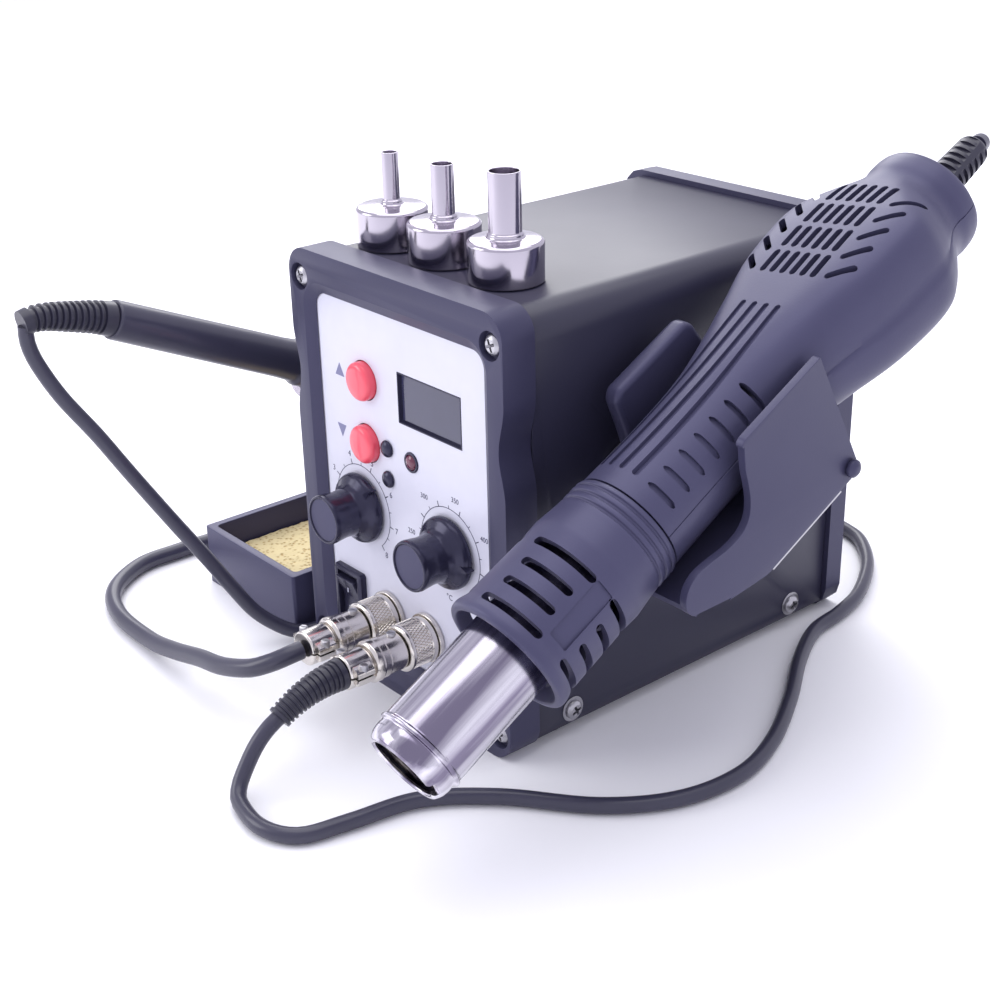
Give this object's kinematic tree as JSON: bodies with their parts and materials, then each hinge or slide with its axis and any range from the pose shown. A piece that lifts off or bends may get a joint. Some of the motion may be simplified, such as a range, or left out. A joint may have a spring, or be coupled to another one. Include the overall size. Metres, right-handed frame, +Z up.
{
  "type": "hot air rework station",
  "caption": "Bench station with a hot air handle in a side cradle, a soldering iron in its stand, nozzles on posts and two cords.",
  "frame": {"origin": "middle of the front bezel's underside, on the bench", "axes": "+X to the right seen from the front, +Y from the front to the back, +Z up"},
  "size_m": [0.2505, 0.29, 0.1695],
  "materials": {
    "black_abs": "fine texture",
    "textured_steel": "black powder coat",
    "soft_black": "satin",
    "black_rubber": "matt",
    "white_panel": "smooth",
    "red_button": "satin",
    "dark_glass": "polished",
    "red_lens": "polished",
    "gloss_black": "gloss",
    "nickel": "plated",
    "steel": "polished",
    "zinc": "plated",
    "brass": "enamelled copper wire",
    "ceramic": "unglazed",
    "circuit_green": "lacquered board",
    "white_abs": "moulded",
    "sponge": "dry cellulose",
    "cord_black": "satin"
  },
  "bodies": {
    "station": {"front_bezel": "black_abs", "front_panel": "white_panel", "rear_frame": "black_abs", "rear_panel": "textured_steel", "mains_inlet": "gloss_black", "top_cover": "textured_steel", "base_plate": "textured_steel", "display_module": "dark_glass", "control_board": "circuit_green", "calibration_plug_high": "gloss_black", "calibration_plug_low": "gloss_black", "heater_light": "red_lens", "power_switch_frame": "gloss_black", "air_socket": "nickel", "iron_socket": "nickel", "air_plug": "nickel", "iron_plug": "nickel", "iron_plug_boot": "black_rubber", "front_screw_1": "zinc", "front_screw_2": "zinc", "front_screw_3": "zinc", "front_screw_4": "zinc", "transformer": "zinc", "transformer_winding": "brass", "post_small": "black_abs", "post_medium": "black_abs", "post_large": "black_abs", "handle_cradle": "black_abs", "cradle_bracket": "zinc", "cradle_screw_front": "zinc", "cradle_screw_rear": "zinc", "stand_base": "black_abs", "sponge": "sponge", "iron_holder": "steel", "hot_air_cord": "cord_black", "iron_cord": "cord_black"},
    "handle": {"handle_shell_top": "soft_black", "handle_shell_bottom": "soft_black", "front_guard": "soft_black", "heater_tube": "steel", "heater_core": "ceramic", "blower_housing": "white_abs", "handle_boot": "black_rubber"},
    "wheel": {"blower_wheel": "white_abs"},
    "iron": {"iron_handle": "gloss_black", "iron_barrel": "steel", "iron_tip": "steel", "iron_boot": "black_rubber", "iron_cord_rise": "cord_black"},
    "up_button": {"up_button": "red_button"},
    "down_button": {"down_button": "red_button"},
    "air_knob": {"air_knob": "gloss_black"},
    "temp_knob": {"temp_knob": "gloss_black"},
    "power_rocker": {"power_rocker": "gloss_black"},
    "air_ring": {"air_plug_ring": "nickel"},
    "iron_ring": {"iron_plug_ring": "nickel"},
    "nozzle_small": {"nozzle_small": "steel"},
    "nozzle_medium": {"nozzle_medium": "steel"},
    "nozzle_large": {"nozzle_large": "steel"}
  },
  "joints": [
    {"name": "power_rocker_tilt", "type": "hinge", "parent": "station", "child": "power_rocker", "pos_m": [-0.03, -0.00265, 0.0245], "axis": [1, 0, 0], "range_deg": [-18, 0]},
    {"name": "up_button_press", "type": "slide", "parent": "station", "child": "up_button", "axis": [0, 1, 0], "range_m": [0, 0.0015], "stiffness_N_per_m": 400, "springref_m": -0.0005},
    {"name": "down_button_press", "type": "slide", "parent": "station", "child": "down_button", "axis": [0, 1, 0], "range_m": [0, 0.0015], "stiffness_N_per_m": 400, "springref_m": -0.0005},
    {"name": "air_knob_turn", "type": "hinge", "parent": "station", "child": "air_knob", "pos_m": [-0.0215, -0.00325, 0.0593], "axis": [0, 1, 0], "range_deg": [-185, 95]},
    {"name": "temp_knob_turn", "type": "hinge", "parent": "station", "child": "temp_knob", "pos_m": [0.0215, -0.00325, 0.0593], "axis": [0, 1, 0], "range_deg": [-236, 44]},
    {"name": "air_ring_turn", "type": "hinge", "parent": "station", "child": "air_ring", "pos_m": [-0.01, -0.00325, 0.026], "axis": [0, 1, 0], "range_deg": [0, 360]},
    {"name": "iron_ring_turn", "type": "hinge", "parent": "station", "child": "iron_ring", "pos_m": [0.0095, -0.00325, 0.026], "axis": [0, 1, 0], "range_deg": [0, 360]},
    {"name": "handle_lift", "type": "slide", "parent": "station", "child": "handle", "axis": [0, -0.4787, 0.878], "range_m": [0, 0.06]},
    {"name": "blower_spin", "type": "hinge", "parent": "handle", "child": "wheel", "pos_m": [0.082, 0.09701, 0.13269], "axis": [0, -0.4787, 0.878], "continuous": true},
    {"name": "iron_draw", "type": "slide", "parent": "station", "child": "iron", "axis": [0, -0.9107, 0.4131], "range_m": [0, 0.08]},
    {"name": "nozzle_small_lift", "type": "slide", "parent": "station", "child": "nozzle_small", "axis": [0, 0, 1], "range_m": [0, 0.02]},
    {"name": "nozzle_medium_lift", "type": "slide", "parent": "station", "child": "nozzle_medium", "axis": [0, 0, 1], "range_m": [0, 0.02]},
    {"name": "nozzle_large_lift", "type": "slide", "parent": "station", "child": "nozzle_large", "axis": [0, 0, 1], "range_m": [0, 0.02]}
  ]
}
